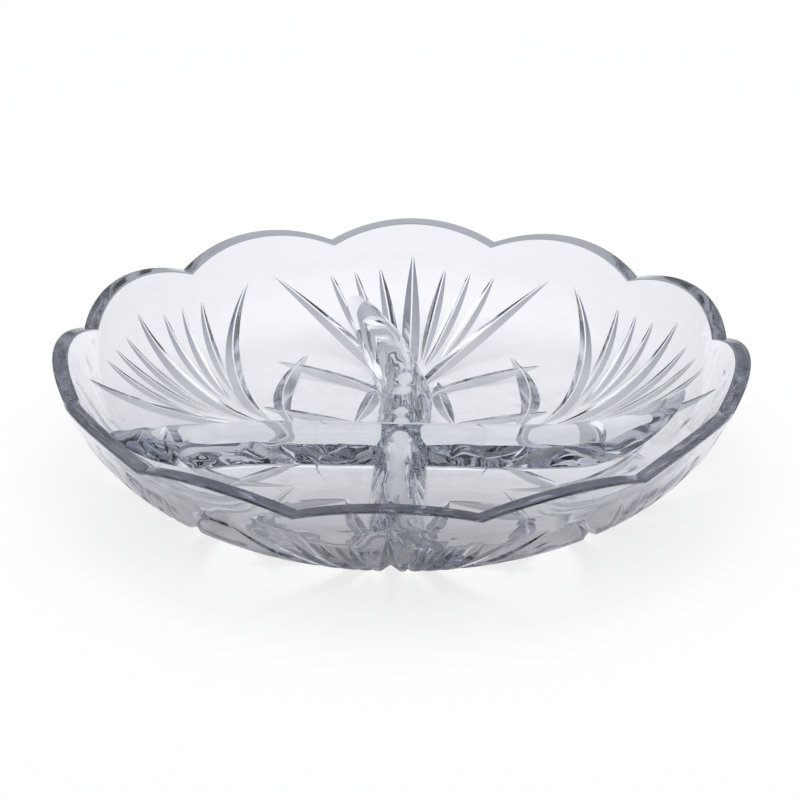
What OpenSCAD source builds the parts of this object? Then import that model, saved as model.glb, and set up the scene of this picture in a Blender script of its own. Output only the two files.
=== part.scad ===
// Round four-part relish tray of clear pressed glass.
// A shallow round bowl with a scalloped rim stands on a flat base.
// Fans and a star of mitred leaves are cut in its outer side, and the inside is smooth.
// A cross of four dividers rises from the floor, and each arm swirls as it climbs the wall.
// Millimetres, +Z up, origin at the centre of the base on the surface it stands on.

/* [Bowl] */
// Radius of the flat underside
base_r = 65.5; // [58:0.5:74]
// Radius of the curve of the outer side, from the flat underside to the rim
wall_curve_r = 65.5; // [58:0.5:74]
// Thickness of the glass in the floor, the wall and the rim
glass_t = 5.6; // [4.4:0.1:6.6]
// Height of the rim at the notches between two scallops
notch_h = 42; // [36:0.5:48]
// Depth of the shallow recess in the middle of the underside
recess_depth = 0.6; // [0.3:0.1:1.2]
// Radius of that recess
recess_r = 32.5; // [24:0.5:36]

/* [Scalloped rim] */
// Number of scallops round the rim, two for each fan
scallops = 12; // [8:2:14]
// Height of a scallop above the notches beside it
scallop_rise = 6.7; // [3:0.1:9]
// Radius of the two corners of the lip, with a level top between them
lip_corner_r = 0.9; // [0.4:0.1:1.8]

/* [Dividers] */
// Height of the dividers above the floor
divider_h = 13.6; // [10:0.1:17]
// Radius of the rounded top of a divider
ridge_r = 5.5; // [4:0.1:6.5]
// Slope of the sides of a divider from upright, in degrees
divider_draft = 24; // [16:1:28]
// Angle by which the arms have swirled where they meet the wall, in degrees
swirl_angle = 15; // [0:1:20]
// Radius at which the arms leave their straight line
swirl_start_r = 45; // [38:1:60]
// Extra height that the top of an arm gains on its way up the wall
ridge_rise = 7; // [0:0.5:10]
// Radius at which the arms start to rise
rise_start_r = 65; // [55:1:75]

/* [Fans] */
// Number of fans round the outer side, with a star point between each two
fans = 6; // [4:1:7]
// Width of the long leaf in the middle of a fan
spine_leaf_w = 7.2; // [3:0.1:7.5]
// Depth of the long leaf in the middle of a fan
spine_leaf_depth = 2.5; // [1:0.1:2.6]
// Width of the short leaves beside it
short_leaf_w = 4.8; // [2:0.1:5]
// Depth of the short leaves
short_leaf_depth = 1.8; // [0.8:0.1:2]
// Width of the long curved leaf on each side of a fan
edge_leaf_w = 6.8; // [3:0.1:7]
// Depth of the long curved leaf on each side of a fan
edge_leaf_depth = 2.4; // [1:0.1:2.6]

/* [Star] */
// Width of the curved leaves that cross between two fans
bow_leaf_w = 7.4; // [3:0.1:7.5]
// Depth of the curved leaves
bow_leaf_depth = 2.7; // [1:0.1:2.8]
// Width of the straight leaves that cross them near the middle
dart_leaf_w = 6.6; // [3:0.1:7]
// Depth of the straight leaves
dart_leaf_depth = 2.2; // [1:0.1:2.4]

/* [Hidden] */
$fn = 180;
glass_colour = [0.86, 0.88, 0.92, 0.6];

// The rim is a straight flare that leaves the curve of the wall a little under the notches.
seam_share = 0.8;
seam_z = notch_h - seam_share * glass_t;
flare_angle = acos((wall_curve_r - seam_z) / wall_curve_r);
seam_r = base_r + wall_curve_r * sin(flare_angle);
inner_curve_r = wall_curve_r - glass_t;
inner_flare_angle = acos((wall_curve_r - seam_z) / inner_curve_r);
seam_inner_r = base_r + inner_curve_r * sin(inner_flare_angle);
crest_z = notch_h + scallop_rise;
// Overrun of a cutter past the glass
over = 2;

// The four dividers stand a quarter turn apart.
quarter_turn = 90;

// Points of an arm's sections, and steps along it and round the rim
ridge_steps = 8;
arm_steps = 22;
scallop_steps = 12;
lip_steps = 4;
profile_steps = 10;
leaf_steps = 8;
swirl_power = 1.5;

// Angle from one fan to the next
fan_pitch = 360 / fans;
// The first fan stands half a pitch from the arm on the right.
first_fan = fan_pitch / 2;

// Ends and middle of each leaf. The first value is a place along the outer profile,
// from 0 at the centre to 1 at the edge of the base and 2 at the rim's seam.
// The second is a share of the angle between two fans, counted from the fan's axis.
spine_leaf_shares = [[1.975, 0], [1.45, 0], [0.93, 0]];
short_leaf_shares = [
    [[1.905, 0.107], [1.58, 0.079], [1.25, 0.055]],
    [[1.895, 0.19], [1.56, 0.137], [1.21, 0.07]],
    [[1.885, 0.27], [1.57, 0.207], [1.26, 0.13]]
];
edge_leaf_shares = [[1.925, 0.465], [1.4, 0.224], [0.86, 0.03]];
// These two are counted from the axis half way between two fans.
bow_leaf_shares = [[1.4, 0.08], [1.07, -0.217], [0.635, -0.52]];
dart_leaf_shares = [[1.085, 0.345], [0.79, 0.235], [0.56, -0.03]];

// Lean, radius and height of the outer side at a place along its profile
function profile_angle(place) = max(place - 1, 0) * flare_angle;
function outer_r(place) =
    place < 1 ? place * base_r : base_r + wall_curve_r * sin(profile_angle(place));
function outer_z(place) = wall_curve_r * (1 - cos(profile_angle(place)));

// A point on the outer side, and the direction into the glass there
function turned(r, angle, z) = [r * cos(angle), r * sin(angle), z];
function on_glass(place, angle) = turned(outer_r(place), angle, outer_z(place));
function into_glass(place, angle) =
    turned(-sin(profile_angle(place)), angle, cos(profile_angle(place)));

function unit(v) = v / norm(v);

// Centre of the circle through three points
function arc_centre(a, b, c) =
    let (
        u = b - a,
        v = c - a,
        n = cross(u, v)
    )
    a + (cross(n, u) * (v * v) + cross(v, n) * (u * u)) / (2 * (n * n));

// One mitred leaf: a V groove whose bottom follows the arc through its two tips and the
// bottom of its middle. The V opens straight out of the glass at the leaf's middle.
module leaf_cut(shares, axis_angle, side, width, depth) {
    angles = [for (s = shares) axis_angle + side * s[1] * fan_pitch];
    tip_out = on_glass(shares[0][0], angles[0]);
    tip_in = on_glass(shares[2][0], angles[2]);
    inward = into_glass(shares[1][0], angles[1]);
    bottom = on_glass(shares[1][0], angles[1]) + depth * inward;
    centre = arc_centre(tip_out, bottom, tip_in);
    arc_r = norm(bottom - centre);
    x_dir = unit(tip_out - centre);
    z_dir = unit(cross(tip_out - centre, tip_in - centre));
    y_dir = cross(z_dir, x_dir);
    span = acos(x_dir * unit(tip_in - centre));
    mid_dir = unit(bottom - centre);
    // The way out of the glass, in the plane that holds the arc's axis and its middle
    out_angle = atan2(-inward * z_dir, -inward * mid_dir);
    half_angle = atan(width / 2 / depth);
    reach = (depth + over) / cos(half_angle);
    extra = asin(min(1, over / arc_r));
    loft([for (k = [0:leaf_steps])
        let (
            turn = -extra + k * (span + 2 * extra) / leaf_steps,
            out_dir = x_dir * cos(turn) + y_dir * sin(turn)
        )
        [for (p = [
            [0, 0],
            reach * [cos(out_angle - half_angle), sin(out_angle - half_angle)],
            reach * [cos(out_angle + half_angle), sin(out_angle + half_angle)]
        ])
            centre + (arc_r + p[0]) * out_dir + p[1] * z_dir]
    ], false);
}

// The cuts of one fan that reach the floor, and its short leaves, which stay in the wall
module long_fan_cuts(axis_angle) {
    leaf_cut(spine_leaf_shares, axis_angle, 1, spine_leaf_w, spine_leaf_depth);
    for (side = [-1, 1])
        leaf_cut(edge_leaf_shares, axis_angle, side, edge_leaf_w, edge_leaf_depth);
}

module short_fan_cuts(axis_angle) {
    for (side = [-1, 1])
        for (shares = short_leaf_shares)
            leaf_cut(shares, axis_angle, side, short_leaf_w, short_leaf_depth);
}

// The cuts of one point of the star, between two fans
module star_cuts(axis_angle) {
    for (side = [-1, 1]) {
        leaf_cut(bow_leaf_shares, axis_angle, side, bow_leaf_w, bow_leaf_depth);
        leaf_cut(dart_leaf_shares, axis_angle, side, dart_leaf_w, dart_leaf_depth);
    }
}

// The cuts that run from the floor up the wall, all round
module long_cuts() {
    for (i = [0:fans - 1]) {
        long_fan_cuts(first_fan + i * fan_pitch);
        star_cuts(i * fan_pitch);
    }
}

module short_cuts() {
    for (i = [0:fans - 1])
        short_fan_cuts(first_fan + i * fan_pitch);
}

// Points along a curve of the wall, from one angle to another
function curve_run(radius, from, to) = [for (k = [0:profile_steps])
    let (angle = from + k * (to - from) / profile_steps)
    [base_r + radius * sin(angle), wall_curve_r - radius * cos(angle)]];

// Half section of the wall, from the edge of the base to the seam of the rim
module wall_section() {
    polygon(concat(
        curve_run(wall_curve_r, 0, flare_angle),
        curve_run(inner_curve_r, inner_flare_angle, 0)
    ));
}

// Half section of the hollow, which the dividers fill from below
module hollow_section() {
    polygon(concat(
        [[0, glass_t]],
        curve_run(inner_curve_r, 0, inner_flare_angle),
        [[0, seam_z]]
    ));
}

module floor() {
    color(glass_colour)
        difference() {
            cylinder(h = glass_t, r = base_r);
            translate([0, 0, -over])
                cylinder(h = over + recess_depth, r = recess_r);
            long_cuts();
        }
}

// The start of the turn lies off the axes on which the cuts of the fans and the star cross.
module wall() {
    color(glass_colour)
        difference() {
            rotate([0, 0, first_fan / 2])
                rotate_extrude()
                    wall_section();
            long_cuts();
            short_cuts();
        }
}

// Height of the rim's top at an angle. Each scallop is an arc between two sharp notches.
function scallop_top(angle) =
    let (
        pitch = 360 / scallops,
        off = angle - pitch * round(angle / pitch),
        half_chord = seam_r * sin(pitch / 2),
        arc_r = (pow(half_chord, 2) + pow(scallop_rise, 2)) / (2 * scallop_rise)
    )
    crest_z - arc_r + sqrt(pow(arc_r, 2) - pow(seam_r * sin(off), 2));

// One rounded corner of the lip: points of an arc from one angle to another
function lip_corner(centre, from, to) = [for (k = [0:lip_steps])
    let (turn = from + k * (to - from) / lip_steps)
    centre + lip_corner_r * [cos(turn), sin(turn)]];

// Section of the rim at an angle: two straight sides, leaning with the flare, and a level top
function rim_section(angle) =
    let (
        lean = [cos(flare_angle), sin(flare_angle)],
        outward = [sin(flare_angle), -cos(flare_angle)],
        corner_z = scallop_top(angle) - lip_corner_r,
        outer = [seam_r, seam_z] - lip_corner_r * outward,
        inner = [seam_inner_r, seam_z] + lip_corner_r * outward
    )
    concat(
        [[seam_inner_r, seam_z], [seam_r, seam_z]],
        lip_corner(outer + lean * (corner_z - outer[1]) / lean[1],
            flare_angle - quarter_turn, quarter_turn),
        lip_corner(inner + lean * (corner_z - inner[1]) / lean[1],
            quarter_turn, flare_angle + quarter_turn)
    );

// Skin of a loft that is closed like a ring or capped at both ends.
// Each section is a list of points in space, in the same order.
module loft(sections, ring) {
    count = len(sections);
    size = len(sections[0]);
    last = ring ? count - 1 : count - 2;
    sides = [for (i = [0:last]) for (j = [0:size - 1])
        let (
            a = i * size + j,
            b = i * size + (j + 1) % size,
            c = ((i + 1) % count) * size + (j + 1) % size,
            d = ((i + 1) % count) * size + j
        )
        each [[a, b, c], [a, c, d]]];
    caps = ring ? [] : [
        [for (j = [0:size - 1]) size - 1 - j],
        [for (j = [0:size - 1]) (count - 1) * size + j]
    ];
    polyhedron(points = [for (s = sections) each s], faces = concat(sides, caps));
}

module rim() {
    steps = scallops * scallop_steps;
    color(glass_colour)
        loft([for (i = [0:steps - 1])
            let (angle = -i * 360 / steps)
            [for (p = rim_section(angle)) turned(p[0], angle, p[1])]], true);
}

// Middle line of an arm seen from above, and the height of its top
function swirl(r, start_r, end_r) = pow(max(r - start_r, 0) / (end_r - start_r), swirl_power);
function arm_angle(r) = swirl_angle * swirl(r, swirl_start_r, seam_inner_r);
function arm_top(r) = glass_t + divider_h + ridge_rise * swirl(r, rise_start_r, seam_inner_r);
function arm_point(r) = [r * cos(arm_angle(r)), r * sin(arm_angle(r))];

// Half width of an arm at a depth under the centre of its rounded top
function flank(depth) =
    ridge_r * cos(divider_draft) + (depth + ridge_r * sin(divider_draft)) * tan(divider_draft);

// One section of an arm, upright and square to its line
function arm_section(r) =
    let (
        ahead = unit(arm_point(r + over) - arm_point(r - over)),
        side = [-ahead[1], ahead[0]],
        at = arm_point(r),
        round_z = arm_top(r) - ridge_r,
        foot = flank(round_z),
        outline = concat(
            [[-foot, 0], [foot, 0]],
            [for (k = [0:ridge_steps])
                let (turn = divider_draft + k * (180 - 2 * divider_draft) / ridge_steps)
                [ridge_r * cos(turn), round_z + ridge_r * sin(turn)]]
        )
    )
    [for (p = outline) [at[0] + p[0] * side[0], at[1] + p[0] * side[1], p[1]]];

// An arm runs from the centre into the wall, and is trimmed to the hollow.
// Its mitre at the centre leaves a quarter for each arm.
module divider() {
    inner_end = flank(glass_t);
    reach = seam_inner_r + over;
    color(glass_colour)
        intersection() {
            loft([for (i = [0:arm_steps])
                arm_section(-inner_end + i * (reach + inner_end) / arm_steps)
            ], false);
            rotate_extrude()
                hollow_section();
            linear_extrude(height = crest_z)
                polygon([[0, 0], [reach, -reach], [2 * reach, 0], [reach, reach]]);
        }
}

module divider_right() {
    divider();
}

module divider_rear() {
    rotate([0, 0, quarter_turn])
        divider();
}

module divider_left() {
    rotate([0, 0, 2 * quarter_turn])
        divider();
}

module divider_front() {
    rotate([0, 0, 3 * quarter_turn])
        divider();
}

floor();
wall();
rim();
divider_right();
divider_rear();
divider_left();
divider_front();
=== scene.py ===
"""Relish tray of clear pressed glass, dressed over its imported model.

The tray is one piece of glass, so one closed glass mesh stands for all the solids. It is made
as the glass is: a turned bowl with a scalloped rim, four divider arms fused to it, and
mitred leaves cut in its outer side. Metres, +Z up, origin under the middle of the base.
"""

import math

import bpy
import numpy as np
from bpy.props import FloatProperty, FloatVectorProperty, IntProperty, PointerProperty
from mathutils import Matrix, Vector


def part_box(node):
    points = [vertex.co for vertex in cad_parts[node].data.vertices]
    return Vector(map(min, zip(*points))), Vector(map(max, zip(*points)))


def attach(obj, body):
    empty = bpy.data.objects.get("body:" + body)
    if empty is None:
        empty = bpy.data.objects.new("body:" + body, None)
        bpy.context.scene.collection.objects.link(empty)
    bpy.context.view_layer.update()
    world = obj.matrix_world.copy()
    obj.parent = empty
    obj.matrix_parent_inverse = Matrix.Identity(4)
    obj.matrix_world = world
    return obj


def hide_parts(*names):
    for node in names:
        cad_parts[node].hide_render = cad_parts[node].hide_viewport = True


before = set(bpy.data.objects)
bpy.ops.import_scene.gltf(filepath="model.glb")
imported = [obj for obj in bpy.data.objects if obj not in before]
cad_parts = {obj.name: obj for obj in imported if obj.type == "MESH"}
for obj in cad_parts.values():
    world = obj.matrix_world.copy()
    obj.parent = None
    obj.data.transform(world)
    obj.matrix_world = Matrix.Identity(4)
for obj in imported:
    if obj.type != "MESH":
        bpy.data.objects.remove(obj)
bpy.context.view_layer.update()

bl_info = {
    "name": "Relish Tray",
    "version": (1, 0, 0),
    "blender": (4, 5, 0),
    "location": "View3D > Sidebar > Relish Tray",
    "description": "Builds a scalloped pressed-glass relish tray, its camera and its studio",
    "category": "Add Mesh",
}

MM = 0.001
RIGHT = math.pi / 2
TURN = 2 * math.pi

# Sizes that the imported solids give
FLOOR_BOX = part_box("floor")
BASE_R = FLOOR_BOX[1].x
GLASS_T = FLOOR_BOX[1].z
SEAM_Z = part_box("wall")[1].z
CREST_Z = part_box("rim")[1].z


class TraySizes(bpy.types.PropertyGroup):
    """Sizes of the bowl"""

    base_r: FloatProperty(
        name="Base radius",
        description="Radius of the flat underside",
        default=BASE_R,
        unit="LENGTH",
    )
    glass_t: FloatProperty(
        name="Glass thickness",
        description="Thickness of the floor, the wall and the rim",
        default=GLASS_T,
        unit="LENGTH",
    )
    curve_r: FloatProperty(
        name="Wall curve",
        description="Radius of the curve of the outer side",
        default=65.5 * MM,
        unit="LENGTH",
    )
    seam_z: FloatProperty(
        name="Flare height",
        description="Height where the rim's straight flare starts",
        default=SEAM_Z,
        unit="LENGTH",
    )
    crest_z: FloatProperty(
        name="Rim height",
        description="Height of the top of a scallop",
        default=CREST_Z,
        unit="LENGTH",
    )
    scallop_rise: FloatProperty(
        name="Scallop rise",
        description="Height of a scallop above its notches",
        default=6.7 * MM,
        unit="LENGTH",
    )
    scallops: IntProperty(
        name="Scallops", description="Scallops round the rim", default=12, min=3
    )
    lip_corner_r: FloatProperty(
        name="Lip corner",
        description="Radius of the two corners of the lip",
        default=0.9 * MM,
        unit="LENGTH",
    )
    recess_r: FloatProperty(
        name="Recess radius",
        description="Radius of the recess underneath",
        default=32.5 * MM,
        unit="LENGTH",
    )
    recess_depth: FloatProperty(
        name="Recess depth",
        description="Depth of the recess underneath",
        default=0.6 * MM,
        unit="LENGTH",
    )


class DividerSizes(bpy.types.PropertyGroup):
    """Sizes of the four divider arms"""

    height: FloatProperty(
        name="Height",
        description="Height above the floor",
        default=13.6 * MM,
        unit="LENGTH",
    )
    ridge_r: FloatProperty(
        name="Top radius",
        description="Radius of the rounded top",
        default=5.5 * MM,
        unit="LENGTH",
    )
    draft: FloatProperty(
        name="Draft",
        description="Slope of the sides from upright",
        default=math.radians(24),
        subtype="ANGLE",
    )
    swirl: FloatProperty(
        name="Swirl",
        description="Angle turned at the wall",
        default=math.radians(15),
        subtype="ANGLE",
    )
    swirl_start_r: FloatProperty(
        name="Swirl start",
        description="Radius where the arms start to turn",
        default=45 * MM,
        unit="LENGTH",
    )
    rise: FloatProperty(
        name="Rise",
        description="Height gained on the way up the wall",
        default=7 * MM,
        unit="LENGTH",
    )
    rise_start_r: FloatProperty(
        name="Rise start",
        description="Radius where the top starts to rise",
        default=65 * MM,
        unit="LENGTH",
    )
    foot_r: FloatProperty(
        name="Foot radius",
        description="Radius of the hollow corner at the foot",
        default=1.6 * MM,
        unit="LENGTH",
    )


class GlassFinish(bpy.types.PropertyGroup):
    """Colour and surface of the glass"""

    tint: FloatVectorProperty(
        name="Tint",
        description="Colour of the glass",
        subtype="COLOR",
        size=3,
        default=(0.98, 0.983, 0.99),
    )
    ior: FloatProperty(name="Index", description="Index of refraction", default=1.52)
    steep_shade: FloatProperty(
        name="Steep shade",
        description="Share of the light that passes a face it falls along",
        default=0.3,
        subtype="FACTOR",
    )
    depth_tint: FloatVectorProperty(
        name="Depth tint",
        description="Colour that deep glass takes",
        subtype="COLOR",
        size=3,
        default=(0.7, 0.725, 0.78),
    )
    depth_density: FloatProperty(
        name="Depth density",
        description="How fast the glass takes its colour, for each metre",
        default=21,
    )
    ripple: FloatProperty(
        name="Ripple",
        description="Strength of the slight unevenness left by the mould",
        default=0.01,
        subtype="FACTOR",
    )
    arm_ripple: FloatProperty(
        name="Arm ripple",
        description="Strength of the unevenness of the divider arms",
        default=0.7,
        subtype="FACTOR",
    )
    outer_ripple: FloatProperty(
        name="Outer ripple",
        description="Strength of the unevenness of the wall's outer side",
        default=0.3,
        subtype="FACTOR",
    )
    # A darker copy of the clear glass's colour: painted shade on the rim's edge
    edge_shade_tint: FloatVectorProperty(
        name="Edge tint",
        description="Colour of the rim's edge",
        subtype="COLOR",
        size=3,
        default=(0.76, 0.77, 0.79),
    )
    edge_roughness: FloatProperty(
        name="Edge roughness",
        description="Roughness of the rim's edge",
        default=0.15,
        subtype="FACTOR",
    )
    # A darker copy of the clear glass's colour: painted shade on the cut leaves, whose
    # roughness below is real
    cut_shade_tint: FloatVectorProperty(
        name="Cut tint",
        description="Colour of the cut leaves",
        subtype="COLOR",
        size=3,
        default=(0.62, 0.635, 0.67),
    )
    cut_roughness: FloatProperty(
        name="Cut roughness",
        description="Roughness of the cut leaves, which are less polished",
        default=0.1,
        subtype="FACTOR",
    )


class StudioLook(bpy.types.PropertyGroup):
    """Camera and light"""

    camera_place: FloatVectorProperty(
        name="Camera",
        description="Place of the camera",
        size=3,
        subtype="XYZ",
        default=(0.0513, -1.3156, 0.6537),
    )
    aim_height: FloatProperty(
        name="Aim height",
        description="Height that the camera aims at",
        default=42 * MM,
        unit="LENGTH",
    )
    lens: FloatProperty(
        name="Lens", description="Focal length in millimetres", default=175.8
    )
    shift_x: FloatProperty(
        name="Shift across", description="Shift of the lens across", default=-0.0014
    )
    shift_y: FloatProperty(
        name="Shift up", description="Shift of the lens upward", default=-0.0393
    )
    paper: FloatVectorProperty(
        name="Paper",
        description="Colour of the floor",
        subtype="COLOR",
        size=3,
        default=(0.85, 0.85, 0.86),
    )
    paper_lift: FloatProperty(
        name="Paper lift",
        description="Share of plain white in the floor as the camera sees it",
        default=0.78,
        subtype="FACTOR",
    )
    # Through and off the glass the paper is lifted towards a painted shade, not plain white;
    # the shade's place, squeeze and radius follow
    paper_lift_in_glass: FloatProperty(
        name="Lift in glass",
        description="The same, for the floor seen through and off the glass",
        default=0.65,
        subtype="FACTOR",
    )
    shade_y: FloatProperty(
        name="Shade place",
        description="Place of the shade's middle, towards the front",
        default=-110 * MM,
        unit="LENGTH",
    )
    shade_squeeze: FloatProperty(
        name="Shade squeeze",
        description="Share that widens the shade to both sides, below 1",
        default=0.6,
        subtype="FACTOR",
    )
    shade_r: FloatProperty(
        name="Shade radius",
        description="Radius of the tray's soft shade on the paper",
        default=250 * MM,
        unit="LENGTH",
    )
    sky: FloatVectorProperty(
        name="Light colour",
        description="Colour of the light",
        subtype="COLOR",
        size=3,
        default=(0.965, 0.98, 1.015),
    )
    overhead: FloatProperty(
        name="Overhead light",
        description="Strength of the light from overhead",
        default=1.28,
    )
    front: FloatProperty(
        name="Front light", description="Strength of the low light", default=0.5
    )
    lamp: FloatProperty(
        name="Lamp",
        description="Power of the soft lamp overhead",
        default=11,
        unit="POWER",
    )


# Kinds of face, which the mesh keeps as its material slots while it is cut. EDGE is the top of
# the lip with its corners, LIP its two sides, and CORE the flat at the bottom of a leaf.
OUTER_FLAT, OUTER_CURVE, INNER_CURVE, INNER_FLAT, LIP, EDGE, ARM, CORE, LEAF = range(9)

# Steps round the bowl, along the wall's curve and each side of the lip, and over the lip's
# outer and inner corners
BOWL_TURNS = 360
CURVE_STEPS = 36
SIDE_STEPS = 6
OUTER_CORNER_STEPS = 10
INNER_CORNER_STEPS = 6
# Steps round the solid that trims the arms, and along its curve
TRIM_TURNS = 180
TRIM_STEPS = 24
# The eased edge of the recess: its width for each unit of the recess's depth, and its points,
# as shares of that width outward and of the depth up
RECESS_EDGE_SPREAD = 2
RECESS_EDGE = ((-1.0, 1.0), (-0.5, 0.85), (0.0, 0.15), (0.5, 0.0))
# Rings of points in the flat underside and the floor, as shares of the base's radius
UNDER_RING = 0.75
FLOOR_RINGS = (0.8, 0.55, 0.3)

# Each leaf has its two ends and its middle: a place along the outer profile, from 0 at the
# centre to 1 at the edge of the base and 2 at the seam, and a share of the fans' pitch.
FANS = 6
SPINE_SHARES = ((1.975, 0.0), (1.45, 0.0), (0.93, 0.0))
SHORT_SHARES = (
    ((1.905, 0.107), (1.58, 0.079), (1.25, 0.055)),
    ((1.895, 0.19), (1.56, 0.137), (1.21, 0.07)),
    ((1.885, 0.27), (1.57, 0.207), (1.26, 0.13)),
)
EDGE_SHARES = ((1.925, 0.465), (1.4, 0.224), (0.86, 0.03))
BOW_SHARES = ((1.4, 0.08), (1.07, -0.217), (0.635, -0.52))
DART_SHARES = ((1.085, 0.345), (0.79, 0.235), (0.56, -0.03))
# Width and depth of each kind of leaf
SPINE_CUT = (7.2 * MM, 2.5 * MM)
SHORT_CUT = (4.8 * MM, 1.8 * MM)
EDGE_CUT = (6.8 * MM, 2.4 * MM)
BOW_CUT = (7.4 * MM, 2.7 * MM)
DART_CUT = (6.6 * MM, 2.2 * MM)
# Width of the narrow polished flat at the bottom of each leaf
CORE_W = 0.6 * MM
LEAF_STEPS = 28
# How far a cutter or an arm goes past the glass
OVERRUN = 2 * MM

ARM_COUNT = 4
ARM_STEPS = 90
RIDGE_STEPS = 24
FOOT_STEPS = 6
# Power of the curve by which an arm turns and rises
ARM_EASE = 1.5
# The hollow corner at an arm's foot ends this steep, and its skirt goes on into the floor
FOOT_END = math.radians(8)
SKIRT_W = 0.2 * MM
SKIRT_DEPTH = 1.2 * MM

# Faces that meet at more than this angle keep a sharp edge
SHARP_ANGLE = math.radians(20)
# A scallop's slope is taken over this step, and this share of the way to the middle of the
# face, so that a corner at a notch gets the slope of the scallop on its own side
SLOPE_STEP = math.radians(0.02)
SLOPE_INSET = 0.1
# Least length to divide by, for corners on the axis
TINY = 1e-9


def unit(v):
    return v / np.linalg.norm(v)


def direction(angle):
    return np.array((math.cos(angle), math.sin(angle)))


class Profile:
    """Half section of the bowl, worked out from the tray's sizes"""

    def __init__(self, sizes):
        self.base_r = sizes.base_r
        self.curve_r = sizes.curve_r
        self.glass_t = sizes.glass_t
        self.seam_z = sizes.seam_z
        self.crest_z = sizes.crest_z
        self.rise = sizes.scallop_rise
        self.scallops = sizes.scallops
        self.recess_r = sizes.recess_r
        self.recess_depth = sizes.recess_depth
        self.recess_edge_w = RECESS_EDGE_SPREAD * self.recess_depth
        self.corner_r = sizes.lip_corner_r
        self.inner_r = self.curve_r - self.glass_t
        self.flare = math.acos((self.curve_r - self.seam_z) / self.curve_r)
        self.seam_r = self.base_r + self.curve_r * math.sin(self.flare)

    def curve(self, radius, angle):
        """Radius and height of a curve of the wall, by its angle from the base"""
        return (self.base_r + radius * math.sin(angle), self.curve_r - radius * math.cos(angle))

    def on_glass(self, place, angle):
        """Point of the outer side at a place along the profile"""
        if place < 1:
            r, z = place * self.base_r, 0.0
        else:
            r, z = self.curve(self.curve_r, (place - 1) * self.flare)
        return np.array((r * math.cos(angle), r * math.sin(angle), z))

    def into_glass(self, place, angle):
        """Direction from the outer side into the glass, at a place along the profile"""
        lean = max(place - 1, 0) * self.flare
        across = -math.sin(lean)
        return np.array((across * math.cos(angle), across * math.sin(angle), math.cos(lean)))

    def scallop_top(self, angle):
        """Height of the rim's top. Each scallop is an arc between two sharp notches."""
        pitch = TURN / self.scallops
        off = angle - pitch * np.round(angle / pitch)
        chord = self.seam_r * math.sin(pitch / 2)
        arc_r = (chord**2 + self.rise**2) / (2 * self.rise)
        return self.crest_z - arc_r + np.sqrt(arc_r**2 - (self.seam_r * np.sin(off)) ** 2)

    def lip_centres(self, angle):
        """Centres of the two rounded corners of the lip, with a level top between them"""
        lean, outward = direction(self.flare), direction(self.flare - RIGHT)
        seam = np.array((self.seam_r, self.seam_z))
        height = self.scallop_top(angle) - self.corner_r
        centres = []
        for depth in (self.corner_r, self.glass_t - self.corner_r):
            foot = seam - depth * outward
            centres.append(foot + lean * (height - foot[1]) / lean[1])
        return centres

    def lip_section(self, angle):
        """The lip's part of the half section, from the seam outside to the seam inside"""
        outer, inner = self.lip_centres(angle)
        outer_end = outer + self.corner_r * direction(self.flare - RIGHT)
        inner_end = inner + self.corner_r * direction(self.flare + RIGHT)
        outer_foot = np.array((self.seam_r, self.seam_z))
        inner_foot = outer_foot + self.glass_t * direction(self.flare + RIGHT)
        run = []
        for k in range(SIDE_STEPS):
            run.append((outer_foot + (outer_end - outer_foot) * k / SIDE_STEPS, LIP))
        for k in range(OUTER_CORNER_STEPS + 1):
            turn = self.flare - RIGHT + k * (math.pi - self.flare) / OUTER_CORNER_STEPS
            run.append((outer + self.corner_r * direction(turn), EDGE))
        for k in range(INNER_CORNER_STEPS):
            turn = RIGHT + k * self.flare / INNER_CORNER_STEPS
            run.append((inner + self.corner_r * direction(turn), EDGE))
        for k in range(SIDE_STEPS):
            run.append((inner_end + (inner_foot - inner_end) * k / SIDE_STEPS, LIP))
        return [(p[0], p[1], kind) for p, kind in run]

    def section(self, angle):
        """Closed half section at an angle, from the centre underneath to the centre on top,
        with the kind of face that follows each point"""
        run = [(0.0, self.recess_depth, OUTER_FLAT)]
        for across, up in RECESS_EDGE:
            r = self.recess_r + across * self.recess_edge_w
            run.append((r, up * self.recess_depth, OUTER_FLAT))
        run.append((self.base_r * UNDER_RING, 0.0, OUTER_FLAT))
        for k in range(CURVE_STEPS):
            r, z = self.curve(self.curve_r, self.flare * k / CURVE_STEPS)
            run.append((r, z, OUTER_CURVE))
        run.extend(self.lip_section(angle))
        for k in range(CURVE_STEPS + 1):
            r, z = self.curve(self.inner_r, self.flare * (1 - k / CURVE_STEPS))
            run.append((r, z, INNER_CURVE if k < CURVE_STEPS else INNER_FLAT))
        for share in FLOOR_RINGS:
            run.append((self.base_r * share, self.glass_t, INNER_FLAT))
        run.append((0.0, self.glass_t, INNER_FLAT))
        return run


def new_mesh(name, points, faces, kinds):
    """A mesh with an empty material slot for each kind of face"""
    mesh = bpy.data.meshes.new(name)
    mesh.from_pydata([tuple(p) for p in points], [], faces)
    for _ in range(LEAF + 1):
        mesh.materials.append(None)
    mesh.polygons.foreach_set("material_index", kinds)
    mesh.update()
    return mesh


def turned_mesh(name, sections):
    """A closed solid turned round the axis, from one half section for each step of the turn"""
    turns = len(sections)
    points = [(0.0, 0.0, sections[0][0][1]), (0.0, 0.0, sections[0][-1][1])]
    for i, run in enumerate(sections):
        angle = TURN * i / turns
        for r, z, _ in run[1:-1]:
            points.append((r * math.cos(angle), r * math.sin(angle), z))
    ring = len(sections[0]) - 2
    after = [kind for _, _, kind in sections[0]]
    kinds, faces = [], []
    for i in range(turns):
        a, b = 2 + i * ring, 2 + ((i + 1) % turns) * ring
        faces.append((0, b, a))
        kinds.append(after[0])
        for k in range(ring - 1):
            faces.append((a + k, b + k, b + k + 1, a + k + 1))
            kinds.append(after[k + 1])
        faces.append((a + ring - 1, b + ring - 1, 1))
        kinds.append(after[-2])
    return new_mesh(name, points, faces, kinds)


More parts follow.
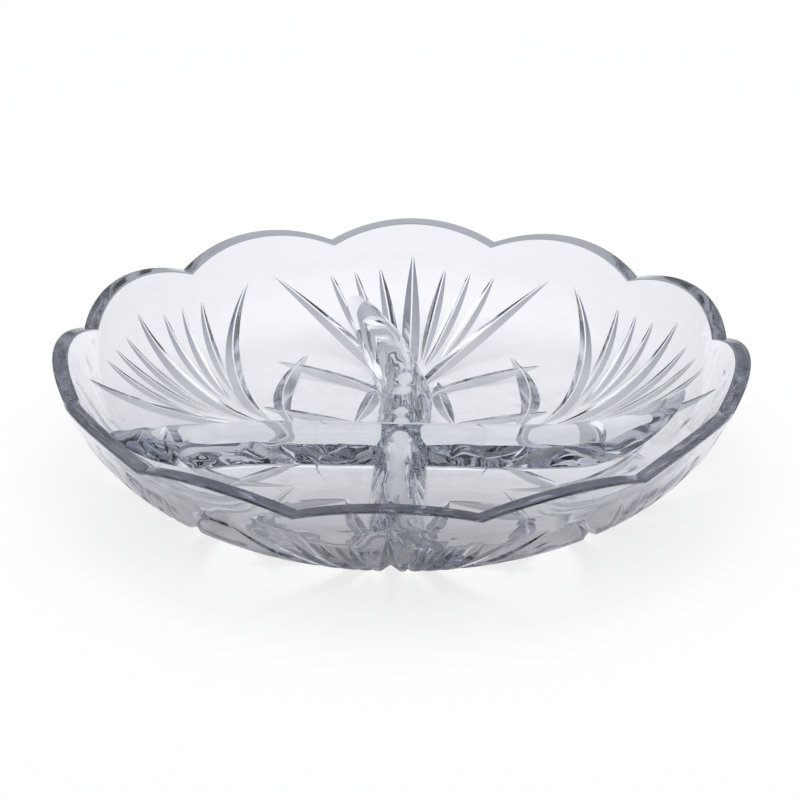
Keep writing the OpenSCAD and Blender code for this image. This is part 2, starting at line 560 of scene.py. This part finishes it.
def bowl_mesh(profile):
    """The bowl before the arms are joined to it and the leaves are cut"""
    sections = [profile.section(TURN * i / BOWL_TURNS) for i in range(BOWL_TURNS)]
    return turned_mesh("bowl", sections)


def core_mesh(profile):
    """Everything above the middle of the glass, which trims the ends of the arms"""
    middle = profile.curve_r - profile.glass_t / 2
    run = [(0.0, profile.glass_t / 2, ARM)]
    for k in range(TRIM_STEPS + 1):
        r, z = profile.curve(middle, profile.flare * k / TRIM_STEPS)
        run.append((r, z, ARM))
    run.append((0.0, run[-1][1], ARM))
    return turned_mesh("core", [run] * TRIM_TURNS)


def loft(sections):
    """Points and faces of a skin over the sections, capped at both ends"""
    size = len(sections[0])
    points = [p for s in sections for p in s]
    faces = []
    for i in range(len(sections) - 1):
        for j in range(size):
            a, b = i * size + j, i * size + (j + 1) % size
            faces.append((a, b, b + size, a + size))
    faces.append(tuple(reversed(range(size))))
    last = (len(sections) - 1) * size
    faces.append(tuple(last + j for j in range(size)))
    return points, faces


def leaf_sections(profile, shares, axis, side, width, depth):
    """V sections along the arc through a leaf's two tips and the bottom of its middle"""
    pitch = TURN / FANS
    (out_place, out_share), (mid_place, mid_share), (in_place, in_share) = shares
    tip_out = profile.on_glass(out_place, axis + side * out_share * pitch)
    tip_in = profile.on_glass(in_place, axis + side * in_share * pitch)
    inward = profile.into_glass(mid_place, axis + side * mid_share * pitch)
    bottom = profile.on_glass(mid_place, axis + side * mid_share * pitch) + depth * inward
    # Centre of the circle through the three points
    u, v = bottom - tip_out, tip_in - tip_out
    n = np.cross(u, v)
    to_centre = (np.cross(n, u) * (v @ v) + np.cross(v, n) * (u @ u)) / (2 * (n @ n))
    centre = tip_out + to_centre
    arc_r = np.linalg.norm(bottom - centre)
    x_dir = unit(tip_out - centre)
    z_dir = unit(np.cross(tip_out - centre, tip_in - centre))
    y_dir = np.cross(z_dir, x_dir)
    span = math.acos(float(x_dir @ unit(tip_in - centre)))
    mid_dir = unit(bottom - centre)
    # The V opens straight out of the glass at the leaf's middle
    out_angle = math.atan2(float(-inward @ z_dir), float(-inward @ mid_dir))
    half = math.atan(width / 2 / depth)
    reach = (depth + OVERRUN) / math.cos(half)
    low = CORE_W / 2 / math.sin(half)
    plus, minus = direction(out_angle + half), direction(out_angle - half)
    corners = [low * minus, low * plus, reach * plus, reach * minus]
    extra = math.asin(OVERRUN / arc_r)
    sections = []
    for k in range(LEAF_STEPS + 1):
        turn = -extra + k * (span + 2 * extra) / LEAF_STEPS
        out_dir = x_dir * math.cos(turn) + y_dir * math.sin(turn)
        sections.append([centre + (arc_r + p[0]) * out_dir + p[1] * z_dir for p in corners])
    return sections


def leaf_ring(profile, name, shares, first, side, cut):
    """The same leaf once for each fan, as one cutter"""
    points, faces, kinds = [], [], []
    for i in range(FANS):
        axis = first + i * TURN / FANS
        sections = leaf_sections(profile, shares, axis, side, *cut)
        new_points, new_faces = loft(sections)
        start = len(points)
        points.extend(new_points)
        faces.extend(tuple(start + k for k in face) for face in new_faces)
        kinds.extend([CORE, LEAF, LEAF, LEAF] * (len(sections) - 1) + [LEAF, LEAF])
    return new_mesh(name, points, faces, kinds)


def leaf_rings(profile):
    """All the cutters: the fans stand half way between the points of the star"""
    half = math.pi / FANS
    rings = [leaf_ring(profile, "spine", SPINE_SHARES, half, 1, SPINE_CUT)]
    for side in (-1, 1):
        for number, shares in enumerate(SHORT_SHARES):
            name = f"short_{number}_{side}"
            rings.append(leaf_ring(profile, name, shares, half, side, SHORT_CUT))
        rings.append(leaf_ring(profile, f"edge_{side}", EDGE_SHARES, half, side, EDGE_CUT))
        rings.append(leaf_ring(profile, f"bow_{side}", BOW_SHARES, 0.0, side, BOW_CUT))
        rings.append(leaf_ring(profile, f"dart_{side}", DART_SHARES, 0.0, side, DART_CUT))
    return rings


class Arm:
    """One divider arm, from the centre into the wall, along +X"""

    def __init__(self, profile, sizes):
        self.profile, self.sizes = profile, sizes
        self.end_r = profile.curve(profile.inner_r, profile.flare)[0]

    def share(self, r, start):
        """How much of the turn or the rise an arm has done at a radius"""
        return (max(r - start, 0.0) / (self.end_r - start)) ** ARM_EASE

    def point(self, r):
        angle = self.sizes.swirl * self.share(r, self.sizes.swirl_start_r)
        return np.array((r * math.cos(angle), r * math.sin(angle)))

    def top(self, r):
        sizes = self.sizes
        rise = sizes.rise * self.share(r, sizes.rise_start_r)
        return self.profile.glass_t + sizes.height + rise

    def foot(self, round_z):
        """Right side's foot: a skirt inside the floor, and the hollow corner that joins the
        side to the floor, from the floor up"""
        radius, draft, corner = self.sizes.ridge_r, self.sizes.draft, self.sizes.foot_r
        floor_z = self.profile.glass_t
        side_h = round_z - floor_z + radius * math.sin(draft)
        flank = radius * math.cos(draft) + side_h * math.tan(draft)
        upright = RIGHT - draft
        corner_x = flank + corner * math.tan(upright / 2)
        points = []
        for k in range(FOOT_STEPS + 1):
            turn = FOOT_END + k * (upright - FOOT_END) / FOOT_STEPS
            x = corner_x - corner * math.sin(turn)
            points.append((x, floor_z + corner * (1 - math.cos(turn))))
        return [(points[0][0] + SKIRT_W, floor_z - SKIRT_DEPTH)] + points

    def section(self, r):
        """Closed section of the arm at a radius, upright and square to its line"""
        ahead = unit(self.point(r + OVERRUN) - self.point(r - OVERRUN))
        side = np.array((-ahead[1], ahead[0]))
        at = self.point(r)
        radius, draft = self.sizes.ridge_r, self.sizes.draft
        round_z = self.top(r) - radius
        right = self.foot(round_z)
        outline = [(-right[0][0], right[0][1])] + right
        for k in range(RIDGE_STEPS + 1):
            turn = draft + k * (math.pi - 2 * draft) / RIDGE_STEPS
            outline.append((radius * math.cos(turn), round_z + radius * math.sin(turn)))
        outline.extend((-x, z) for x, z in reversed(right[1:]))
        return [np.array((at[0] + x * side[0], at[1] + x * side[1], z)) for x, z in outline]

    def mesh(self, number):
        """The arm, turned from +X to its own place in the cross"""
        reach = self.end_r + OVERRUN
        sections = [self.section(i * reach / ARM_STEPS) for i in range(ARM_STEPS + 1)]
        c, s = direction(number * TURN / ARM_COUNT)
        sections = [
            [(p[0] * c - p[1] * s, p[0] * s + p[1] * c, p[2]) for p in run] for run in sections
        ]
        points, faces = loft(sections)
        return new_mesh(f"arm_{number}", points, faces, [ARM] * len(faces))


def build_operand(mesh):
    obj = bpy.data.objects.new(mesh.name, mesh)
    bpy.context.scene.collection.objects.link(obj)
    return obj


def combined(base, operands):
    """The base mesh after each operand is added or cut away, as a new mesh"""
    body = build_operand(base)
    helpers = []
    for mesh, operation in operands:
        helper = build_operand(mesh)
        helpers.append(helper)
        step = body.modifiers.new(mesh.name, "BOOLEAN")
        step.operation = operation
        step.object = helper
        step.solver = "MANIFOLD"
    bpy.context.view_layer.update()
    graph = bpy.context.evaluated_depsgraph_get()
    result = bpy.data.meshes.new_from_object(body.evaluated_get(graph))
    for obj in [body] + helpers:
        data = obj.data
        bpy.data.objects.remove(obj)
        bpy.data.meshes.remove(data)
    return result


def loop_table(mesh):
    """For each corner of each face: its place, the face's kind and middle, and its normal"""

    def read(owner, name, width, kind):
        values = np.zeros(len(owner) * width, kind)
        owner.foreach_get(name, values)
        return values.reshape(-1, width) if width > 1 else values

    vertex_of = read(mesh.loops, "vertex_index", 1, np.int32)
    at = read(mesh.vertices, "co", 3, np.float32)[vertex_of].astype(float)
    totals = read(mesh.polygons, "loop_total", 1, np.int32)
    kind = np.repeat(read(mesh.polygons, "material_index", 1, np.int32), totals)
    middle = np.repeat(read(mesh.polygons, "center", 3, np.float32), totals, axis=0)
    normals = read(mesh.corner_normals, "vector", 3, np.float32).astype(float)
    return at, kind, middle, normals


def lip_turns(profile, r, z, angle):
    """Direction that the lip faces in its half section, for each corner of its faces. It is
    that of the straight sides, of the two round corners, or of the level top."""
    lean, low, high = direction(profile.flare), profile.flare - RIGHT, profile.flare + RIGHT
    turn = np.full(len(r), RIGHT)
    for i, a in enumerate(angle):
        outer, inner = profile.lip_centres(a)
        d_out, d_in = np.array((r[i], z[i])) - outer, np.array((r[i], z[i])) - inner
        out_turn, in_turn = math.atan2(d_out[1], d_out[0]), math.atan2(d_in[1], d_in[0])
        if d_out @ lean < 0 and d_out @ direction(low) > 0:
            turn[i] = low
        elif d_in @ lean < 0 and d_in @ direction(high) > 0:
            turn[i] = high
        elif low <= out_turn <= RIGHT and d_out[0] > 0:
            turn[i] = out_turn
        elif RIGHT <= in_turn <= high:
            turn[i] = in_turn
    return turn


def lip_normals(profile, at, middle):
    """Normals of the lip, tilted along the rim by the slope of the scallops"""
    r = np.hypot(at[:, 0], at[:, 1])
    angle = np.arctan2(at[:, 1], at[:, 0])
    towards = np.arctan2(middle[:, 1], middle[:, 0]) - angle
    towards = (towards + math.pi) % TURN - math.pi
    inside = angle + SLOPE_INSET * towards
    turn = lip_turns(profile, r, at[:, 2], angle)
    climb = profile.scallop_top(inside + SLOPE_STEP) - profile.scallop_top(inside - SLOPE_STEP)
    slope = climb / (2 * SLOPE_STEP)
    lean = np.cos(turn) * math.cos(profile.flare) + np.sin(turn) * math.sin(profile.flare)
    tilt = -lean * slope / math.sin(profile.flare) / r
    level = np.zeros(len(at))
    away = np.stack([np.cos(angle), np.sin(angle), level], axis=1)
    along = np.stack([-np.sin(angle), np.cos(angle), level], axis=1)
    normals = away * np.cos(turn)[:, None] + along * tilt[:, None]
    normals[:, 2] += np.sin(turn)
    return normals / np.linalg.norm(normals, axis=1)[:, None]


def set_normals(mesh, profile):
    """True normals of the turned surfaces, so that the glass refracts as a smooth curve"""
    mesh.shade_smooth()
    mesh.set_sharp_from_angle(angle=SHARP_ANGLE)
    at, kind, middle, normals = loop_table(mesh)
    r = np.maximum(np.hypot(at[:, 0], at[:, 1]), TINY)
    d_r, d_z = r - profile.base_r, at[:, 2] - profile.curve_r
    size = np.maximum(np.hypot(d_r, d_z), TINY)
    curve = np.stack([at[:, 0] / r * d_r / size, at[:, 1] / r * d_r / size, d_z / size], axis=1)
    normals[kind == OUTER_CURVE] = curve[kind == OUTER_CURVE]
    normals[kind == INNER_CURVE] = -curve[kind == INNER_CURVE]
    normals[kind == INNER_FLAT] = (0.0, 0.0, 1.0)
    under = (kind == OUTER_FLAT) & (r > profile.recess_r + profile.recess_edge_w)
    normals[under] = (0.0, 0.0, -1.0)
    lip = (kind == LIP) | (kind == EDGE)
    normals[lip] = lip_normals(profile, at[lip], middle[lip])
    mesh.normals_split_custom_set([tuple(n) for n in normals])


def empty_tree(owner):
    """Node tree of a material or a world, with no nodes yet"""
    owner.use_nodes = True
    owner.node_tree.nodes.clear()
    return owner.node_tree


def add_node(tree, kind, inputs, **settings):
    """A node with its settings. Each input is linked to another node or set to a value."""
    node = tree.nodes.new(kind)
    for name, value in settings.items():
        setattr(node, name, value)
    for key, value in inputs.items():
        if isinstance(value, bpy.types.NodeSocket):
            tree.links.new(value, node.inputs[key])
        else:
            node.inputs[key].default_value = value
    return node


def math_node(tree, operation, *values):
    node = add_node(tree, "ShaderNodeMath", dict(enumerate(values)), operation=operation)
    return node.outputs["Value"]


def mixed(tree, share, first, second):
    """The first shader, with a share of the second"""
    node = add_node(tree, "ShaderNodeMixShader", {0: share, 1: first, 2: second})
    return node.outputs["Shader"]


def ramp(tree, fac, stops):
    """Grey level that follows a value, through the stops"""
    node = add_node(tree, "ShaderNodeValToRGB", {"Fac": fac})
    node.color_ramp.interpolation = "EASE"
    ends = node.color_ramp.elements
    for stop, (position, level) in zip((ends[0], ends[1]), (stops[0], stops[-1])):
        stop.position, stop.color = position, (level, level, level, 1.0)
    for position, level in stops[1:-1]:
        stop = ends.new(position)
        stop.color = (level, level, level, 1.0)
    return node.outputs["Color"]


# The mould's unevenness: its height in metres, and the scale and detail of its noise
WAVE_HEIGHT = 5 * MM
WAVE_SCALE = 58.0
WAVE_DETAIL = 1.0
# Patches of slightly rougher glass: the scale and detail of their noise, the levels of the
# noise where they start and end, and the roughness that they add
SMUDGE_SCALE = 18.0
SMUDGE_DETAIL = 4.0
SMUDGE_LEVELS = (0.55, 0.8)
SMUDGE_ROUGHNESS = 0.03
# Shadow of the glass: the blend of its facing weight, the weights where steep glass starts
# and ends, and the share of the light that flat glass lets through
FACING_BLEND = 0.5
STEEP_LEVELS = (0.1, 0.75)
FLAT_SHADE = 0.96


def glass_material(name, finish, tint, roughness):
    """Clear glass that deepens with its depth, is uneven by the value kept on each face, and
    lets light through to the floor"""
    material = bpy.data.materials.new(name)
    tree = empty_tree(material)
    place = add_node(tree, "ShaderNodeTexCoord", {}).outputs["Object"]
    wave = add_node(
        tree,
        "ShaderNodeTexNoise",
        {"Vector": place, "Scale": WAVE_SCALE, "Detail": WAVE_DETAIL},
    )
    ripple = add_node(tree, "ShaderNodeAttribute", {}, attribute_name="ripple")
    bump = add_node(
        tree,
        "ShaderNodeBump",
        {
            "Strength": ripple.outputs["Fac"],
            "Distance": WAVE_HEIGHT,
            "Height": wave.outputs["Fac"],
        },
    )
    smudge = add_node(
        tree,
        "ShaderNodeTexNoise",
        {"Vector": place, "Scale": SMUDGE_SCALE, "Detail": SMUDGE_DETAIL},
    )
    spread = add_node(
        tree,
        "ShaderNodeMapRange",
        {
            "Value": smudge.outputs["Fac"],
            "From Min": SMUDGE_LEVELS[0],
            "From Max": SMUDGE_LEVELS[1],
            "To Min": roughness,
            "To Max": roughness + SMUDGE_ROUGHNESS,
        },
    )
    glass = add_node(
        tree,
        "ShaderNodeBsdfPrincipled",
        {
            "Base Color": (*tint, 1.0),
            "Transmission Weight": 1.0,
            "IOR": finish.ior,
            "Roughness": spread.outputs["Result"],
            "Normal": bump.outputs["Normal"],
        },
    )
    # Light that falls along a face is thrown aside, so steep glass shades more than flat glass
    facing = add_node(tree, "ShaderNodeLayerWeight", {"Blend": FACING_BLEND})
    shade = add_node(
        tree,
        "ShaderNodeMapRange",
        {
            "Value": facing.outputs["Facing"],
            "From Min": STEEP_LEVELS[0],
            "From Max": STEEP_LEVELS[1],
            "To Min": FLAT_SHADE,
            "To Max": finish.steep_shade,
        },
        interpolation_type="SMOOTHSTEP",
    )
    through = add_node(tree, "ShaderNodeBsdfTransparent", {"Color": shade.outputs["Result"]})
    ray = add_node(tree, "ShaderNodeLightPath", {})
    passing = math_node(
        tree, "MAXIMUM", ray.outputs["Is Shadow Ray"], ray.outputs["Is Diffuse Ray"]
    )
    deep = add_node(
        tree,
        "ShaderNodeVolumeAbsorption",
        {"Color": (*finish.depth_tint, 1.0), "Density": finish.depth_density},
    )
    surface = mixed(tree, passing, glass.outputs["BSDF"], through.outputs["BSDF"])
    add_node(
        tree,
        "ShaderNodeOutputMaterial",
        {"Surface": surface, "Volume": deep.outputs["Volume"]},
    )
    return material


def finish_glass(mesh, finish):
    """Gives each face its slot and its unevenness by its kind, then fills the slots"""
    kinds = [face.material_index for face in mesh.polygons]
    ripples = {ARM: finish.arm_ripple, OUTER_CURVE: finish.outer_ripple}
    ripple = mesh.attributes.new("ripple", "FLOAT", "FACE")
    ripple.data.foreach_set("value", [ripples.get(kind, finish.ripple) for kind in kinds])
    mesh.materials.clear()
    for name, tint, roughness in (
        ("clear_glass", finish.tint, 0.0),
        # The rim's edge: the clear glass darkened by a painted shade
        ("glass_edge_painted_shade", finish.edge_shade_tint, finish.edge_roughness),
        # The cut leaves: the clear glass darkened by a painted shade
        ("glass_cut_painted_shade", finish.cut_shade_tint, finish.cut_roughness),
    ):
        mesh.materials.append(glass_material(name, finish, tint, roughness))
    slots = {EDGE: 1, LEAF: 2}
    mesh.polygons.foreach_set("material_index", [slots.get(kind, 0) for kind in kinds])


class TRAY_OT_glass(bpy.types.Operator):
    """Makes the tray's glass: bowl, scalloped rim, divider arms and cut leaves in one piece"""

    bl_idname = "tray.glass"
    bl_label = "Glass"

    def execute(self, context):
        scene = context.scene
        profile = Profile(scene.tray_sizes)
        arm = Arm(profile, scene.divider_sizes)
        operands = []
        for i in range(ARM_COUNT):
            trimmed = combined(arm.mesh(i), [(core_mesh(profile), "INTERSECT")])
            operands.append((trimmed, "UNION"))
        operands.extend((ring, "DIFFERENCE") for ring in leaf_rings(profile))
        mesh = combined(bowl_mesh(profile), operands)
        mesh.name = "glass_tray"
        set_normals(mesh, profile)
        finish_glass(mesh, scene.glass_finish)
        obj = bpy.data.objects.new("glass_tray", mesh)
        scene.collection.objects.link(obj)
        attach(obj, "root")
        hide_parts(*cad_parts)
        return {"FINISHED"}


SENSOR_W = 36.0
CLIP = (0.01, 50.0)
# The paper lies just under the tray
PAPER_HALF = 6.0
PAPER_DROP = 0.2 * MM
LAMP_PLACE = (0.0, 0.2, 1.5)
LAMP_SIDE = 1.0
# Light passes many faces of the cut glass
BOUNCES = {
    "max_bounces": 24,
    "glossy_bounces": 12,
    "transmission_bounces": 18,
    "transparent_max_bounces": 24,
}
# Levels of the light: by height for the overhead light and the low light, and for the low
# light also by how far it lies to the front, from 0 behind the tray to 1 before it
OVERHEAD_STOPS = ((0.0, 0.02), (0.3, 0.04), (0.55, 0.25), (0.75, 0.75), (0.9, 1.0), (1.0, 0.95))
LOW_STOPS = ((0.0, 0.3), (0.2, 0.7), (0.35, 1.0), (0.6, 0.0))
FRONT_STOPS = ((0.0, 1.0), (0.2, 0.45), (0.45, 0.08), (0.75, 0.4), (1.0, 0.9))
# Smallest level part of a direction, so that straight up has a front too
LEVEL_MIN = 0.001
# Level of the paper seen through the glass, a painted shade, by distance from the middle of
# the tray's shade, as a share of shade_r
FLOOR_STOPS = ((0.0, 0.22), (0.16, 0.27), (0.32, 0.52), (0.46, 0.86), (0.62, 0.98), (1.0, 0.97))


def look_stops(strength, stops):
    return [(position, level * strength) for position, level in stops]


def floor_material(look):
    """Pale paper that keeps the tray's shadow. Where the camera sees it, it is lifted towards
    plain white. Through and off the glass it is lifted less, and least in a painted shade near
    the tray."""
    material = bpy.data.materials.new("paper")
    tree = empty_tree(material)
    paper = add_node(tree, "ShaderNodeBsdfDiffuse", {"Color": (*look.paper, 1.0)})
    place = add_node(tree, "ShaderNodeTexCoord", {}).outputs["Object"]
    wide = add_node(
        tree,
        "ShaderNodeVectorMath",
        {0: place, 1: (look.shade_squeeze, 1.0, 1.0)},
        operation="MULTIPLY",
    )
    away = add_node(
        tree,
        "ShaderNodeVectorMath",
        {0: wide.outputs["Vector"], 1: (0.0, look.shade_y, 0.0)},
        operation="DISTANCE",
    )
    far = math_node(tree, "DIVIDE", away.outputs["Value"], look.shade_r)
    # Painted shade: a glow for the paper seen through and off the glass, dimmer near the tray's
    # front
    painted_paper_shade = add_node(
        tree,
        "ShaderNodeEmission",
        {"Color": (*look.sky, 1.0), "Strength": ramp(tree, far, FLOOR_STOPS)},
    )
    white = add_node(tree, "ShaderNodeEmission", {})
    ray = add_node(tree, "ShaderNodeLightPath", {})
    in_glass = math_node(
        tree, "MAXIMUM", ray.outputs["Is Glossy Ray"], ray.outputs["Is Transmission Ray"]
    )
    surface = paper.outputs["BSDF"]
    for lifted, seen, share in (
        (painted_paper_shade, in_glass, look.paper_lift_in_glass),
        (white, ray.outputs["Is Camera Ray"], look.paper_lift),
    ):
        part = math_node(tree, "MULTIPLY", seen, share)
        surface = mixed(tree, part, surface, lifted.outputs["Emission"])
    add_node(tree, "ShaderNodeOutputMaterial", {"Surface": surface})
    return material


def studio_world(look):
    """Soft light from overhead and from the front, with dim sides"""
    world = bpy.data.worlds.new("studio")
    tree = empty_tree(world)
    toward = add_node(tree, "ShaderNodeTexCoord", {}).outputs["Generated"]
    x, y, z = add_node(tree, "ShaderNodeSeparateXYZ", {"Vector": toward}).outputs
    squares = [math_node(tree, "MULTIPLY", part, part) for part in (x, y)]
    level = math_node(tree, "SQRT", math_node(tree, "ADD", *squares))
    behind = math_node(tree, "DIVIDE", y, math_node(tree, "MAXIMUM", level, LEVEL_MIN))
    front = math_node(tree, "MULTIPLY_ADD", behind, -0.5, 0.5)
    over = ramp(tree, z, look_stops(look.overhead, OVERHEAD_STOPS))
    low = ramp(tree, z, look_stops(look.front, LOW_STOPS))
    side = ramp(tree, front, FRONT_STOPS)
    total = math_node(tree, "MULTIPLY_ADD", low, side, over)
    light = add_node(
        tree, "ShaderNodeBackground", {"Color": (*look.sky, 1.0), "Strength": total}
    )
    add_node(tree, "ShaderNodeOutputWorld", {"Surface": light.outputs["Background"]})
    bpy.context.scene.world = world


def facing(place, aim):
    """Turn of a camera or lamp that looks from its place at its aim"""
    return (Vector(aim) - Vector(place)).to_track_quat("-Z", "Y").to_euler()


def add_camera(scene, look):
    """The camera of the photograph"""
    lens = bpy.data.cameras.new("camera")
    lens.lens = look.lens
    lens.sensor_width = SENSOR_W
    lens.shift_x, lens.shift_y = look.shift_x, look.shift_y
    lens.clip_start, lens.clip_end = CLIP
    camera = bpy.data.objects.new("camera", lens)
    camera.location = look.camera_place
    camera.rotation_euler = facing(look.camera_place, (0.0, 0.0, look.aim_height))
    scene.collection.objects.link(camera)
    scene.camera = camera


def add_floor(scene, look):
    """A plain floor, wide enough to fill the view"""
    signs = ((-1, -1), (1, -1), (1, 1), (-1, 1))
    mesh = bpy.data.meshes.new("floor_paper")
    corners = [(PAPER_HALF * x, PAPER_HALF * y, 0) for x, y in signs]
    mesh.from_pydata(corners, [], [(0, 1, 2, 3)])
    mesh.materials.append(floor_material(look))
    floor = bpy.data.objects.new("floor_paper", mesh)
    floor.location.z = -PAPER_DROP
    scene.collection.objects.link(floor)


def add_lamp(scene, look):
    """A soft lamp overhead, which isn't seen in the glass"""
    light = bpy.data.lights.new("lamp_over", "AREA")
    light.shape = "RECTANGLE"
    light.size = light.size_y = LAMP_SIDE
    light.energy = look.lamp
    lamp = bpy.data.objects.new("lamp_over", light)
    lamp.location = LAMP_PLACE
    lamp.rotation_euler = facing(LAMP_PLACE, (0.0, 0.0, 0.0))
    lamp.visible_glossy = False
    lamp.visible_transmission = False
    scene.collection.objects.link(lamp)


class TRAY_OT_studio(bpy.types.Operator):
    """Adds the camera, the floor, the world and the lamp"""

    bl_idname = "tray.studio"
    bl_label = "Camera and studio"

    def execute(self, context):
        scene = context.scene
        look = scene.studio_look
        add_camera(scene, look)
        add_floor(scene, look)
        studio_world(look)
        add_lamp(scene, look)
        scene.view_settings.view_transform = "Standard"
        for name, count in BOUNCES.items():
            setattr(scene.cycles, name, count)
        return {"FINISHED"}


class TRAY_PT_panel(bpy.types.Panel):
    """Lists what this file builds"""

    bl_label = "Relish Tray"
    bl_idname = "TRAY_PT_panel"
    bl_space_type = "VIEW_3D"
    bl_region_type = "UI"
    bl_category = "Relish Tray"

    def draw(self, context):
        layout = self.layout
        for operator in (TRAY_OT_glass, TRAY_OT_studio):
            layout.operator(operator.bl_idname)
        scene = context.scene
        for name in GROUPS:
            group = getattr(scene, name)
            box = layout.box()
            for value in group.__annotations__:
                box.prop(group, value)


GROUPS = {
    "tray_sizes": TraySizes,
    "divider_sizes": DividerSizes,
    "glass_finish": GlassFinish,
    "studio_look": StudioLook,
}
CLASSES = (*GROUPS.values(), TRAY_OT_glass, TRAY_OT_studio, TRAY_PT_panel)


def register():
    for cls in CLASSES:
        bpy.utils.register_class(cls)
    for name, group in GROUPS.items():
        setattr(bpy.types.Scene, name, PointerProperty(type=group))


def unregister():
    for name in reversed(GROUPS):
        delattr(bpy.types.Scene, name)
    for cls in reversed(CLASSES):
        bpy.utils.unregister_class(cls)


def main():
    register()
    bpy.ops.tray.glass()
    bpy.ops.tray.studio()


if __name__ == "__main__":
    main()
